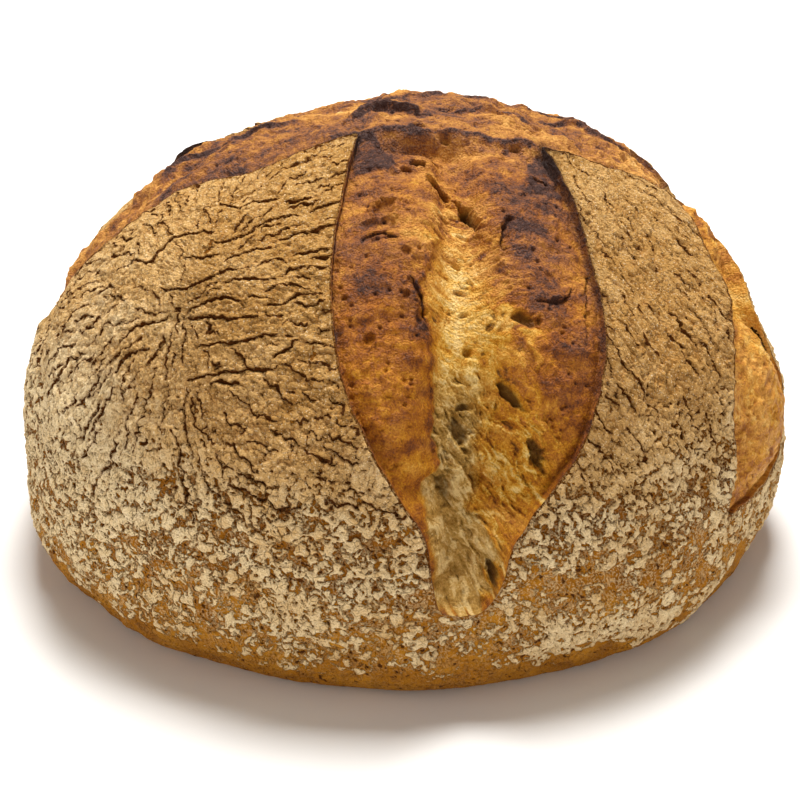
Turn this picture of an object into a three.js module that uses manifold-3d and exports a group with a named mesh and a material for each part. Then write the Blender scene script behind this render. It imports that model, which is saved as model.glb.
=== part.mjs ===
// A round sourdough loaf, baked free-standing on its flat base.
// Two crossing scores have split the floured crust into four panels. Between the panels the
// dough has risen through as a browned, convex bloom, torn open along the middle of each arm.
// The right arm is bridged by a flap of crust, so it shows as an opening of its own.
//
// The loaf is one solid. Two full bodies, the crust's and the bloom's, have every point of their
// surface on a ray from the heart of the loaf: the smooth form gives the length of the ray, and
// relief is added along it. A wedge of rays through each opening's lips then cuts the crust
// away, and the bloom that lies within a slightly wider wedge takes its place.
// Places on the crust are given on the skin map, which is the skin peeled flat from the crown:
// x runs to the right, y to the back, and the distance from the crown follows the surface.

import * as THREE from "three";
import { mergeVertices } from "three/addons/utils/BufferGeometryUtils.js";
import Module from "manifold-3d";

// ---- The smooth form, in millimetres ----
const WIDTH = 240; // side to side
const DEPTH = 220; // front to back
const WAIST = 38; // height of the widest level above the base
const CROWN = 98; // rise of the dome above the waist
const UNDERSIDE = 53.5; // fall of the lower half, were it not flattened
const UNDERSIDE_POWER = 3.7; // how square the lower half turns under, where 2 is round
const HEART = [-1.4, 0.4, WAIST]; // where rays start, set so that the uneven loaf is centred
const BASE_BLEND = 9; // rounding between the side and the base
const BASE_SINK = 0.6; // how far the rounded form passes below the base before it is cut flat

// ---- The skin map ----
const SKIN_RADIUS = 110; // millimetres of skin for one radian seen from the heart

// ---- The score: each lip is a curve through points of the skin map ----
const FRONT_END = [27, -177.5];
const BACK_END = [16, 166];
const LEFT_END = [-152, 8];
const RIGHT_STUB = [96, 22];
const FRONT_LEFT_TIP = [-14, -15];
const FRONT_RIGHT_TIP = [47, -11];
const BACK_LEFT_TIP = [-8, 50];
const BACK_RIGHT_TIP = [42, 47];
const FLANK_TOP = [98, 13];
const FLANK_END = [144, -98];

const CROSS_LIPS = [
  [FRONT_END, [17, -176], [12.5, -166], [8.5, -154], [-1, -143], [-12.5, -126], [-20.5, -106],
    [-22.7, -82], [-20.5, -52], FRONT_LEFT_TIP],
  [FRONT_LEFT_TIP, [-33, -18], [-56, -18.5], [-77, -14], [-96, -16], [-112, -19], [-134, -10],
    LEFT_END],
  [LEFT_END, [-136, 22], [-108, 27], [-78, 32], [-45, 38], BACK_LEFT_TIP],
  [BACK_LEFT_TIP, [-18, 72], [-20, 98], [-12, 124], [2, 148], BACK_END],
  [BACK_END, [32, 146], [46, 122], [53, 97], [51, 71], BACK_RIGHT_TIP],
  [BACK_RIGHT_TIP, [63, 41], [80, 35], RIGHT_STUB],
  [RIGHT_STUB, [88, 3], [67, -6.5], FRONT_RIGHT_TIP],
  [FRONT_RIGHT_TIP, [60, -45], [67.5, -74], [68.5, -97], [65, -120], [54, -139], [46, -153],
    [43, -166], [37.5, -174.5], FRONT_END],
];
const FLANK_LIPS = [
  [FLANK_TOP, [102, -6], [106, -20], [114, -31], [117, -44], [121, -58], [126, -72],
    [135, -84], FLANK_END],
  [FLANK_END, [153, -84], [163, -62], [168, -40], [161, -25], [147, -21], [131, -23], [121.5, -10],
    [114, 2], [107, 10.5], FLANK_TOP],
];
const CROSS_MIDDLE = [17, 12];
const FLANK_MIDDLE = [136, -42];
const SPLINE_STEPS = 3; // straight steps between two points of a lip

const LIP_RISE = 0.9; // how far a lip stands above the crust behind it
const LIP_RUN = 7; // how far back from its edge a lip has lifted
const BLOOM_DROP = 1.8; // depth of the bloom where it meets the cut wall
const CROWN_LIFT = 1.5; // how much less that is on the crown and behind it
const BLOOM_SWELL = 3.2; // how far the bloom swells back up away from the wall
const BLOOM_RUN = 6; // distance over which it swells

// Ears, where a lip has peeled up in the oven, and broad swellings and hollows of the form.
const EARS = [
  { at: [50, -16], reach: 24, rise: 1.8 },
  { at: [-14, -16], reach: 16, rise: 1.2 },
  { at: [60, 41], reach: 26, rise: 1.8 },
  { at: [92, 31], reach: 14, rise: 2.2 },
  { at: [-76, 32], reach: 9, rise: 3 },
  { at: [120, -7], reach: 13, rise: 2 },
  { at: [-8, 50], reach: 16, rise: 0.6 },
  { at: [114, -34], reach: 18, rise: 1.6 },
];
const SWELLINGS = [
  { at: [-42, 26], reach: 40, rise: -4.4 },
  { at: [75, 35], reach: 30, rise: 1.2 },
  { at: [15, 22], reach: 26, rise: 1.4 },
  { at: [-118, -95], reach: 46, rise: 1.8 },
  { at: [150, -30], reach: 34, rise: 0.4 },
  { at: [-125, 15], reach: 42, rise: -4.4 },
  { at: [130, 20], reach: 42, rise: -2.4 },
  { at: [48, 40], reach: 26, rise: -4.2 },
  { at: [4, 46], reach: 30, rise: -1 },
];

// Tears: the bloom is torn to this depth along a line, over a half width either side of it.
// Depth and half width run evenly from the first value to the last along the line.
const TEARS = [
  { line: [[17, -22], [20, -52], [22, -85], [24, -114], [26, -141], [25, -168]],
    depth: [5, 8, 10, 14, 15, 12], half: [6, 8, 9, 13, 15, 12] },
  { line: [[-4, -22], [10, -21], [26, -20]], depth: [3, 5, 2], half: [3, 4, 3] },
  { line: [[14, 52], [17, 85], [17, 118], [15, 150]], depth: [4, 9, 12, 9], half: [6, 9, 13, 10] },
  { line: [[-70, 8], [-95, 3], [-122, 2], [-142, 6]], depth: [2, 5, 6, 4], half: [6, 8, 9, 7] },
  { line: [[112, -12], [124, -28], [131, -50], [140, -76]], depth: [2, 4, 4, 3],
    half: [6, 7, 7, 6] },
];
const TEAR_SLOPE = 1.7; // steepest rise of a torn side: millimetres of depth for one of distance

// The bloom of the cross arm is a roll. It stands on the near lips and lies over the front arm
// from tip to tip. Its rise runs evenly from the first value to the last along its front edge.
const ROLL_FRONT = [[-96, -17], [-56, -19.5], [-33, -19], FRONT_LEFT_TIP, [4, -14], [28, -12],
  FRONT_RIGHT_TIP, [67, -8], [88, 1]];
const ROLL_RISE = [0, 1.2, 2, 3, 2.6, 2, 2, 1.2, 0];
const ROLL_RUN = 20; // how far back the roll is raised
const ROLL_FACE = 4; // thickness of its front face

// Unevenness: long slow waves over the whole loaf, each with a direction, a number of waves
// from one side of the loaf to the other, a phase in radians and a height in millimetres.
const WAVES = [
  { along: [0.8, 0.5, 0.3], count: 3.1, phase: 0.4, height: 0.8 },
  { along: [-0.4, 0.8, 0.5], count: 4.3, phase: 1.9, height: 0.6 },
  { along: [0.6, -0.7, 0.6], count: 6.1, phase: 3.3, height: 0.45 },
  { along: [0.1, 0.6, -0.9], count: 8.7, phase: 5.1, height: 0.35 },
];

// ---- The mesh: a spherified cube's top and sides, closed below by a fan ----
const CELLS = 28; // cells along an edge of the top
const SIDE_CELLS = 22; // cells down a side
const SIDE_REACH = 0.62; // how far a side runs below the waist, as the tangent of the angle
const CUT_WEDGE = { start: 30, stop: 180, widen: 1 }; // distances from the heart
const BLOOM_WEDGE = { start: 24, stop: 170, widen: 1.012 }; // reaches in under the lips
const WEDGE_RINGS = 10; // rings of a wedge's two curved ends, so that they clear the skin

const clamp = THREE.MathUtils.clamp;
const smoothstep = THREE.MathUtils.smoothstep;

// The unit direction from the heart to a place on the skin map.
function directionOf([x, y]) {
  const angle = Math.hypot(x, y) / SKIN_RADIUS;
  const turn = Math.atan2(y, x);
  return new THREE.Vector3(
    Math.sin(angle) * Math.cos(turn),
    Math.sin(angle) * Math.sin(turn),
    Math.cos(angle),
  );
}

// The place on the skin map of a unit direction.
function placeOf(direction) {
  const spread = SKIN_RADIUS * Math.acos(clamp(direction.z, -1, 1));
  const flat = Math.max(Math.hypot(direction.x, direction.y), 1e-9);
  return [(spread * direction.x) / flat, (spread * direction.y) / flat];
}

// Points of the skin map along a smooth curve through the given ones.
function curveThrough(points) {
  const spline = new THREE.SplineCurve(points.map(([x, y]) => new THREE.Vector2(x, y)));
  return spline.getPoints(SPLINE_STEPS * (points.length - 1)).map((p) => [p.x, p.y]);
}

// The point of a polyline of unit directions that is nearest to a direction: how far away it
// is in millimetres, and how far along the line in steps.
function nearestOn(line, direction) {
  const best = { distance: Infinity, along: 0 };
  const chord = new THREE.Vector3();
  const offset = new THREE.Vector3();
  for (let i = 0; i + 1 < line.length; i++) {
    chord.subVectors(line[i + 1], line[i]);
    offset.subVectors(direction, line[i]);
    const share = clamp(offset.dot(chord) / Math.max(chord.lengthSq(), 1e-12), 0, 1);
    const distance = offset.addScaledVector(chord, -share).length() * SKIN_RADIUS;
    if (distance < best.distance) {
      best.distance = distance;
      best.along = i + share;
    }
  }
  return best;
}

// True inside a closed outline of the skin map, by counting the edges to one side.
function isInside(outline, [x, y]) {
  let inside = false;
  outline.forEach(([x1, y1], i) => {
    const [x2, y2] = outline[(i + 1) % outline.length];
    if (y1 > y !== y2 > y && x < x1 + ((y - y1) * (x2 - x1)) / (y2 - y1)) inside = !inside;
  });
  return inside;
}

// A value that runs evenly through a list, read at a share of the way along it.
function valueAlong(values, share) {
  const at = clamp(share, 0, 1) * (values.length - 1);
  const i = Math.min(Math.floor(at), values.length - 2);
  return values[i] + (values[i + 1] - values[i]) * (at - i);
}

const outlineOf = (lips) => lips.flatMap((lip) => curveThrough(lip).slice(1));
const OPENINGS = [
  { outline: outlineOf(CROSS_LIPS), middle: CROSS_MIDDLE },
  { outline: outlineOf(FLANK_LIPS), middle: FLANK_MIDDLE },
];
const lipLines = OPENINGS.map(({ outline }) => [...outline, outline[0]].map(directionOf));
const tearLines = TEARS.map((tear) => curveThrough(tear.line).map(directionOf));
const rollCurve = curveThrough(ROLL_FRONT);
const rollLine = rollCurve.map(directionOf);

function nearestLip(direction) {
  return lipLines
    .map((line) => nearestOn(line, direction))
    .reduce((a, b) => (b.distance < a.distance ? b : a));
}

// The sum of round bumps, each falling away from its middle as a bell curve.
function bumps(list, [x, y]) {
  return list.reduce((sum, { at, reach, rise }) => {
    const distance = Math.hypot(x - at[0], y - at[1]) / reach;
    return sum + rise * Math.exp(-distance * distance);
  }, 0);
}

function waves(direction) {
  return WAVES.reduce((sum, { along, count, phase, height }) => {
    const across = new THREE.Vector3(...along).dot(direction);
    return sum + height * Math.sin(Math.PI * count * across + phase);
  }, 0);
}

// Length of the ray from the heart to the smooth form: half an ellipsoid above the waist, and
// below it a squarer half that blends into the base.
function smoothRadius(direction) {
  const flat = Math.hypot(direction.x / (WIDTH / 2), direction.y / (DEPTH / 2));
  if (direction.z >= 0) return 1 / Math.hypot(flat, direction.z / CROWN);
  const fall = -direction.z;
  const power = UNDERSIDE_POWER;
  const side = (flat ** power + (fall / UNDERSIDE) ** power) ** (-1 / power);
  const base = (WAIST + BASE_SINK) / Math.max(fall, 1e-6);
  const mix = clamp(0.5 + (0.5 * (base - side)) / BASE_BLEND, 0, 1);
  return base * (1 - mix) + side * mix - BASE_BLEND * mix * (1 - mix);
}

// How deep the bloom is torn here, never steeper from the lip than a torn side can stand.
function tearDepth(direction, lipDistance) {
  return TEARS.reduce((deepest, tear, i) => {
    const near = nearestOn(tearLines[i], direction);
    const share = near.along / (tearLines[i].length - 1);
    const across = near.distance / valueAlong(tear.half, share);
    const depth = valueAlong(tear.depth, share) / (1 + across ** 4);
    return Math.max(deepest, Math.min(depth, TEAR_SLOPE * lipDistance));
  }, 0);
}

// The roll of the cross arm: raised behind its front edge, easing back to the bloom.
function rollRise(direction, place) {
  const near = nearestOn(rollLine, direction);
  const edge = rollCurve[Math.round(near.along)];
  const behind = place[1] >= edge[1] ? near.distance : -near.distance;
  const rise = valueAlong(ROLL_RISE, near.along / (rollLine.length - 1));
  return rise * smoothstep(behind, -ROLL_FACE, 0) * Math.exp(-Math.max(behind, 0) / ROLL_RUN);
}

// Height of the crust above the smooth form, lifted towards its lips.
function crustRelief(ray) {
  const place = placeOf(ray);
  const lipHeight = LIP_RISE + bumps(EARS, place);
  const lifted = lipHeight * Math.exp(-nearestLip(ray).distance / LIP_RUN);
  return waves(ray) + bumps(SWELLINGS, place) + lifted;
}

// Height of the bloom above the smooth form: low at the wall, swelling up away from it, with
// the roll of the cross arm on it and the tears cut into it.
function bloomRelief(ray) {
  const place = placeOf(ray);
  const inside = OPENINGS.some(({ outline }) => isInside(outline, place));
  const lipDistance = inside ? nearestLip(ray).distance : 0;
  const drop = BLOOM_DROP - CROWN_LIFT * smoothstep(place[1], -22, -6);
  const swell = BLOOM_SWELL * (1 - Math.exp(-lipDistance / BLOOM_RUN)) - drop;
  const torn = tearDepth(ray, lipDistance);
  return waves(ray) + bumps(SWELLINGS, place) + swell + rollRise(ray, place) - torn;
}

// Relief fades out below the waist, so that the base stays flat.
function surfacePoint(ray, relief) {
  const fade = smoothstep(ray.z, -0.32, -0.12);
  const length = smoothRadius(ray) + fade * relief(ray);
  const point = new THREE.Vector3(...HEART).addScaledVector(ray, length);
  point.z = Math.max(point.z, 0);
  return point;
}

// The corners of two triangles for each cell of a grid of points, facing the side from which
// the columns run right and the rows run down.
function gridTriangles(grid) {
  const corners = [];
  for (let j = 0; j + 1 < grid.length; j++)
    for (let i = 0; i + 1 < grid[j].length; i++) {
      const [a, b, c, d] = [grid[j][i], grid[j][i + 1], grid[j + 1][i + 1], grid[j + 1][i]];
      corners.push(a, d, b, b, d, c);
    }
  return corners;
}

const range = (count) => Array.from({ length: count }, (_, i) => i);
const evenTangent = (share) => Math.tan((Math.PI / 4) * (2 * share - 1));
const sideTangent = (share) =>
  Math.tan(Math.PI / 4 - share * (Math.PI / 4 + Math.atan(SIDE_REACH)));

// A full body with the given relief: the top and the four sides of a spherified cube, closed
// by a fan that lies in the base.
function bodyTriangles(relief) {
  const patch = (rows, rayAt) =>
    range(rows + 1).map((j) =>
      range(CELLS + 1).map((i) => surfacePoint(rayAt(i / CELLS, j / rows).normalize(), relief)),
    );
  const topRay = (u, v) => new THREE.Vector3(evenTangent(u), -evenTangent(v), 1);
  const corners = gridTriangles(patch(CELLS, topRay));
  const up = new THREE.Vector3(0, 0, 1);
  for (const side of range(4)) {
    const sideRay = (u, v) =>
      new THREE.Vector3(evenTangent(u), -1, sideTangent(v)).applyAxisAngle(up, (side * Math.PI) / 2);
    const grid = patch(SIDE_CELLS, sideRay);
    const rim = grid[SIDE_CELLS];
    corners.push(...gridTriangles(grid));
    const foot = new THREE.Vector3(HEART[0], HEART[1], 0);
    for (const i of range(CELLS)) corners.push(rim[i], foot, rim[i + 1]);
  }
  return corners;
}

// The wedge of rays through an opening: two curved ends made of rings around a middle place,
// joined along the lips. The outline is turned first so that the wedge faces outwards.
function wedgeTriangles({ outline, middle }, { start, stop, widen }) {
  const turned = outline.map(([x, y]) => new THREE.Vector2(x, y));
  if (THREE.ShapeUtils.isClockWise(turned)) turned.reverse();
  const centre = new THREE.Vector2(...middle);
  const ringAt = (share, length) =>
    [...turned, turned[0]].map((p) => {
      const { x, y } = centre.clone().lerp(p, share * widen);
      return new THREE.Vector3(...HEART).addScaledVector(directionOf([x, y]), length);
    });
  const shares = range(WEDGE_RINGS + 1).map((ring) => ring / WEDGE_RINGS);
  const outer = shares.map((share) => ringAt(1 - share, stop));
  const inner = shares.map((share) => ringAt(share, start));
  return gridTriangles([...inner, ...outer].reverse());
}

const wasm = await Module();
wasm.setup();

function solidOf(corners) {
  const loose = new THREE.BufferGeometry().setFromPoints(corners);
  const merged = mergeVertices(loose, 1e-3);
  const vertProperties = merged.getAttribute("position").array;
  const triVerts = new Uint32Array(merged.index.array);
  return new wasm.Manifold(new wasm.Mesh({ numProp: 3, vertProperties, triVerts }));
}

const wedgesOf = (reach) =>
  OPENINGS.map((opening) => solidOf(wedgeTriangles(opening, reach))).reduce((a, b) => a.add(b));
const crustBody = solidOf(bodyTriangles(crustRelief)).subtract(wedgesOf(CUT_WEDGE));
const bloomBody = solidOf(bodyTriangles(bloomRelief)).intersect(wedgesOf(BLOOM_WEDGE));
const whole = crustBody.add(bloomBody).getMesh();

const geometry = new THREE.BufferGeometry();
geometry.setAttribute("position", new THREE.BufferAttribute(whole.vertProperties, 3));
geometry.setIndex(new THREE.BufferAttribute(whole.triVerts, 1));
geometry.computeVertexNormals();

const crust = new THREE.MeshStandardMaterial({ color: 0xb48748, roughness: 0.85, metalness: 0 });
const loaf = new THREE.Mesh(geometry, crust);
loaf.name = "loaf";

const bread = new THREE.Group();
bread.add(loaf);

export default bread;
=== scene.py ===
import math

import bpy
import numpy as np
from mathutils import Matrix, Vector


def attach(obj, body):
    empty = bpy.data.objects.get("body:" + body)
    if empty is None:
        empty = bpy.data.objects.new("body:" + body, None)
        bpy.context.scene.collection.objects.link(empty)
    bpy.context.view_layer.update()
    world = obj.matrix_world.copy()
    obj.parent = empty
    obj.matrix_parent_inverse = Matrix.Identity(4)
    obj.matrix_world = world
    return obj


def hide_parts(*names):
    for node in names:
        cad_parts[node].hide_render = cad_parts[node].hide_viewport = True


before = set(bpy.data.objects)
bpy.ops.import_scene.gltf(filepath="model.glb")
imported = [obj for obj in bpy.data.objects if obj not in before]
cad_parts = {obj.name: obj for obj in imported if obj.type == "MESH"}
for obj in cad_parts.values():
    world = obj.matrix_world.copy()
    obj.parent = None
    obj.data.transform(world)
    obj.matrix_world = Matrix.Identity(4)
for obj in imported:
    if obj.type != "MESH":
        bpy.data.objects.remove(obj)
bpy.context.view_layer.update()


# ---- The risen dough ----
# A round of dough, proved in a floured basket and baked free-standing on a stone: a high dome
# over a squarer, flat-based underside. Every point of its skin lies on a ray from the heart
# of the loaf. Lengths are millimetres here and become metres where a mesh is made.
WIDTH = 240.0            # side to side
DEPTH = 220.0            # front to back
WAIST = 38.0             # height of the widest level above the base
CROWN = 98.0             # rise of the dome above the waist
UNDERSIDE = 53.5         # fall of the lower half, were it not flattened
UNDERSIDE_POWER = 3.7    # how square the lower half turns under, where 2 is round
BASE_BLEND = 9.0         # rounding between the side and the base
BASE_SINK = 0.6          # how far the rounded form passes below the base before it is cut flat
HEART = np.array([-1.4, 0.4, WAIST])     # where rays start
MILLIMETRE = 0.001       # in metres
SKIN_RADIUS = 110.0      # millimetres of skin for one radian seen from the heart
CELLS = 400       # cells along an edge of the top
SIDE_REACH = 0.56        # how far a side runs below the waist, as the tangent of the angle
RELIEF_FADE = -0.36, -0.29               # a ray's fall over which relief ends, to leave a flat base
WAVES = [                # slow unevenness: direction, waves from side to side, phase, height
    ((0.8, 0.5, 0.3), 3.1, 0.4, 0.8),
    ((-0.4, 0.8, 0.5), 4.3, 1.9, 0.6),
    ((0.6, -0.7, 0.6), 6.1, 3.3, 0.45),
    ((0.1, 0.6, -0.9), 8.7, 5.1, 0.35),
]
SWELLINGS = [            # broad swellings and hollows: place, reach, rise
    ((-42, 26), 40, -4.4), ((75, 35), 30, 1.2), ((15, 22), 26, 1.4), ((-118, -95), 46, 1.8),
    ((150, -30), 34, 0.4), ((-125, 15), 42, -4.4), ((130, 20), 42, -2.4), ((48, 40), 26, -4.2),
    ((4, 46), 30, -1),
]


def smooth(values, low, high):
    """0 below low, 1 above high, and between them a curve that starts and ends level."""
    share = np.clip((values - low) / (high - low), 0, 1)
    return share * share * (3 - 2 * share)


def unit(vectors):
    """Each row divided by its length."""
    return vectors / np.maximum(np.linalg.norm(vectors, axis=-1, keepdims=True), 1e-12)


def rays_of(places):
    """Directions from the heart to places on the skin map: the distance from the middle of
    the map, over the skin radius, is the angle from straight up."""
    places = np.asarray(places, float)
    angle = np.hypot(places[..., 0], places[..., 1]) / SKIN_RADIUS
    turn = np.arctan2(places[..., 1], places[..., 0])
    flat = np.sin(angle)
    return np.stack([flat * np.cos(turn), flat * np.sin(turn), np.cos(angle)], -1)


def places_of(rays):
    """Places on the skin map of directions from the heart, the inverse of rays_of."""
    spread = SKIN_RADIUS * np.arccos(np.clip(rays[:, 2], -1, 1))
    flat = np.maximum(np.hypot(rays[:, 0], rays[:, 1]), 1e-9)
    return np.stack([spread * rays[:, 0] / flat, spread * rays[:, 1] / flat], -1)


def smooth_radius(rays):
    """Length of each ray to the smooth form: half an ellipsoid above the waist, and below it
    a squarer half that blends into the base by a rounded minimum."""
    flat = np.hypot(rays[:, 0] / (WIDTH / 2), rays[:, 1] / (DEPTH / 2))
    dome = 1 / np.hypot(flat, rays[:, 2] / CROWN)
    fall = np.maximum(-rays[:, 2], 1e-6)
    side = (flat ** UNDERSIDE_POWER + (fall / UNDERSIDE) ** UNDERSIDE_POWER) ** (-1 / UNDERSIDE_POWER)
    base = (WAIST + BASE_SINK) / fall
    mix = np.clip(0.5 + 0.5 * (base - side) / BASE_BLEND, 0, 1)
    under = base * (1 - mix) + side * mix - BASE_BLEND * mix * (1 - mix)
    return np.where(rays[:, 2] >= 0, dome, under)


def form_of(rays):
    """Points of the smooth form along some rays."""
    return HEART + rays * smooth_radius(rays)[:, None]


def bell(values, reach):
    """1 at 0, falling away to both sides as a bell curve."""
    return np.exp(-(values / reach) ** 2)


def bumps(listed, places):
    """The sum of round bumps, each falling away from its middle as a bell curve."""
    total = np.zeros(len(places))
    for at, reach, rise in listed:
        total += rise * bell(np.hypot(*(places - at).T), reach)
    return total


def waves(rays):
    """The sum of sine waves, each running along its own direction."""
    total = np.zeros(len(rays))
    for along, count, phase, height in WAVES:
        total += height * np.sin(math.pi * count * (rays @ np.array(along)) + phase)
    return total


def cube_rays():
    """Directions over the top and sides of a cube blown up to a sphere, with even angles
    between them, and the cells between them as rows of four corners."""
    even = np.tan(np.linspace(-math.pi / 4, math.pi / 4, CELLS + 1))
    side_cells = round(CELLS * 0.5 * (1 + math.atan(SIDE_REACH) / (math.pi / 4)))
    down = np.tan(np.linspace(math.pi / 4, -math.atan(SIDE_REACH), side_cells + 1))
    across, back = np.meshgrid(even, -even)
    patches = [np.stack([across, back, np.ones_like(across)], -1)]
    across, fall = np.meshgrid(even, down)
    for turn in (0, 1, 2, 3):
        cos, sin = math.cos(turn * math.pi / 2), math.sin(turn * math.pi / 2)
        patches.append(np.stack([across * cos + sin, across * sin - cos, fall], -1))
    points, cells, start = [], [], 0
    for patch in patches:
        index = np.arange(start, start + patch[..., 0].size).reshape(patch.shape[:2])
        corners = index[:-1, :-1], index[1:, :-1], index[1:, 1:], index[:-1, 1:]
        points.append(patch.reshape(-1, 3))
        cells.append(np.stack([c.ravel() for c in corners], -1))
        start += index.size
    points = unit(np.concatenate(points))
    keys = np.round(points * 1e6).astype(np.int64)
    unused, first, inverse = np.unique(keys, axis=0, return_index=True, return_inverse=True)
    return points[first], inverse.ravel()[np.concatenate(cells)]


rays, cells = cube_rays()


def hashed(x, y, z, seed):
    """Repeatable whole numbers for whole-number places: the three, each times a large odd
    number, are summed and mixed by shifts and another product."""
    mixed = x * np.uint32(374761393) + y * np.uint32(668265263) + z * np.uint32(2246822519)
    mixed = mixed + np.uint32((seed * 2654435761) & 0xffffffff)
    mixed = (mixed ^ (mixed >> np.uint32(15))) * np.uint32(2246822519)
    mixed = (mixed ^ (mixed >> np.uint32(13))) * np.uint32(3266489917)
    return mixed ^ (mixed >> np.uint32(16))


def corner_and_part(at):
    """The whole-number corner below each place, and how far past it the place is."""
    low = np.floor(at)
    return low.astype(np.int64).astype(np.uint32), (at - low).astype(np.float32)


def ten_bits(number, k):
    """The first, second or third ten bits of a hash, a number from 0 to 1023."""
    return number >> np.uint32(10 * k) & np.uint32(1023)


def noise(at, seed):
    """Smooth noise of about -1 to 1 with hills about one unit apart: each whole-number corner
    has a slope picked by its hash, and between the corners their planes are mixed."""
    corner, part = corner_and_part(at)
    share = part ** 3 * (part * (part * 6 - 15) + 10)
    total = np.zeros(len(at), np.float32)
    for dx, dy, dz in np.ndindex(2, 2, 2):
        number = hashed(*(corner + np.array([dx, dy, dz], np.uint32)).T, seed)
        slope = sum((ten_bits(number, k) / np.float32(511.5) - 1) * (part[:, k] - step)
                    for k, step in enumerate((dx, dy, dz)))
        weight = np.ones(len(at), np.float32)
        for k, step in enumerate((dx, dy, dz)):
            weight *= share[:, k] if step else 1 - share[:, k]
        total += slope * weight
    return 1.5 * total


def layered(at, *layers):
    """The sum of some noises, each given by its strength, the size of its hills and a seed."""
    return sum(strength * noise(at / size, seed) for strength, size, seed in layers)


def shifts(at, *layers):
    """Such sums for all three directions, with the seeds counted up from one to the next."""
    return np.column_stack([layered(at, *[(strength, size, seed + k)
                                          for strength, size, seed in layers]) for k in range(3)])


def plates(at, seed):
    """Cells round points scattered one to a unit box: how much farther the second nearest
    point is than the nearest, which is zero on the seams, the distance to the nearest, and a
    number from 0 to 1 that it picks."""
    corner, part = corner_and_part(at)
    nearest, second = np.full((2, len(at)), 9, np.float32)
    pick = np.zeros(len(at), np.float32)
    for step in np.ndindex(3, 3, 3):
        offset = np.array(step) - 1
        number = hashed(*(corner + offset.astype(np.uint32)).T, seed)
        apart = sum((ten_bits(number, k) / np.float32(1023) + offset[k] - part[:, k]) ** 2
                    for k in range(3))
        closer = apart < nearest
        second = np.where(closer, nearest, np.minimum(second, apart))
        pick = np.where(closer, (number >> np.uint32(7) & np.uint32(255)) / 255, pick)
        nearest = np.where(closer, apart, nearest)
    return np.sqrt(second) - np.sqrt(nearest), np.sqrt(nearest), pick


# ---- The score ----
# A cross cut in the dough before baking. Its cut edges have drawn apart into lips, which lift
# where they dried first, and a flap of crust bridges the right arm near its top.
FRONT_END, BACK_END, LEFT_END, RIGHT_STUB = (27, -177.5), (16, 166), (-152, 8), (96, 22)
FRONT_LEFT_TIP, FRONT_RIGHT_TIP = (-14, -15), (47, -11)
BACK_LEFT_TIP, BACK_RIGHT_TIP = (-8, 50), (42, 47)
FLANK_TOP, FLANK_END = (98, 13), (144, -98)
CROSS_LIPS = [
    [FRONT_END, (17, -176), (12.5, -166), (8.5, -154), (-1, -143), (-12.5, -126), (-20.5, -106),
     (-22.7, -82), (-20.5, -52), FRONT_LEFT_TIP],
    [FRONT_LEFT_TIP, (-33, -18), (-56, -18.5), (-77, -14), (-96, -16), (-112, -19), (-134, -10),
     LEFT_END],
    [LEFT_END, (-136, 22), (-108, 27), (-78, 32), (-45, 38), BACK_LEFT_TIP],
    [BACK_LEFT_TIP, (-18, 72), (-20, 98), (-12, 124), (2, 148), BACK_END],
    [BACK_END, (32, 146), (46, 122), (53, 97), (51, 71), BACK_RIGHT_TIP],
    [BACK_RIGHT_TIP, (63, 41), (80, 35), RIGHT_STUB],
    [RIGHT_STUB, (88, 3), (67, -6.5), FRONT_RIGHT_TIP],
    [FRONT_RIGHT_TIP, (60, -45), (67.5, -74), (68.5, -97), (65, -120), (54, -139), (46, -153),
     (43, -166), (37.5, -174.5), FRONT_END],
]
FLANK_LIPS = [
    [FLANK_TOP, (102, -6), (106, -20), (114, -31), (117, -44), (121, -58), (126, -72),
     (135, -84), FLANK_END],
    [FLANK_END, (153, -84), (163, -62), (168, -40), (161, -25), (147, -21), (131, -23),
     (121.5, -10), (114, 2), (107, 10.5), FLANK_TOP],
]
LIP_RIPPLE = 0.5         # how far a lip wanders to either side of its smooth line
LIP_RIPPLE_WAVE = 6.0    # distance along a lip from one such turn to the next
LIP_RISE = 0.9           # how far a lip stands above the crust behind it
LIP_RUN = 7.0            # how far back from its edge a lip has lifted
OVERHANG = 0.5           # how far the edge of a lip leans out over the bloom
EARS = [                 # where a lip has peeled up further: place, reach, rise
    ((50, -16), 24, 1.8), ((-14, -16), 16, 1.2), ((60, 41), 26, 1.8), ((92, 31), 14, 2.2),
    ((-76, 32), 9, 3.0), ((120, -7), 13, 2.0), ((-8, 50), 16, 0.6), ((114, -34), 18, 1.6),
]
GATHER_REACH = 3.2       # skin this near to a lip is meshed more finely towards it
GATHER_POWER = 2.0       # how strongly it is drawn in
NEAREST_BATCH = 20000    # rays measured at a time, to spare memory


def curve_through(points, steps=6):
    """Points along a smooth curve through the given ones: each span is the cubic whose end
    slopes are half the step between the neighbours."""
    points = np.asarray(points, float)
    padded = np.concatenate([points[:1], points, points[-1:]])
    share = np.linspace(0, 1, steps, endpoint=False)[:, None]
    spans = []
    for before, start, stop, after in zip(padded, padded[1:], padded[2:], padded[3:]):
        leave, arrive = (stop - before) / 2, (after - start) / 2
        cube = 2 * (start - stop) + leave + arrive
        square = 3 * (stop - start) - 2 * leave - arrive
        spans.append(cube * share ** 3 + square * share ** 2 + leave * share + start)
    return np.concatenate(spans + [points[-1:]])


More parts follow.
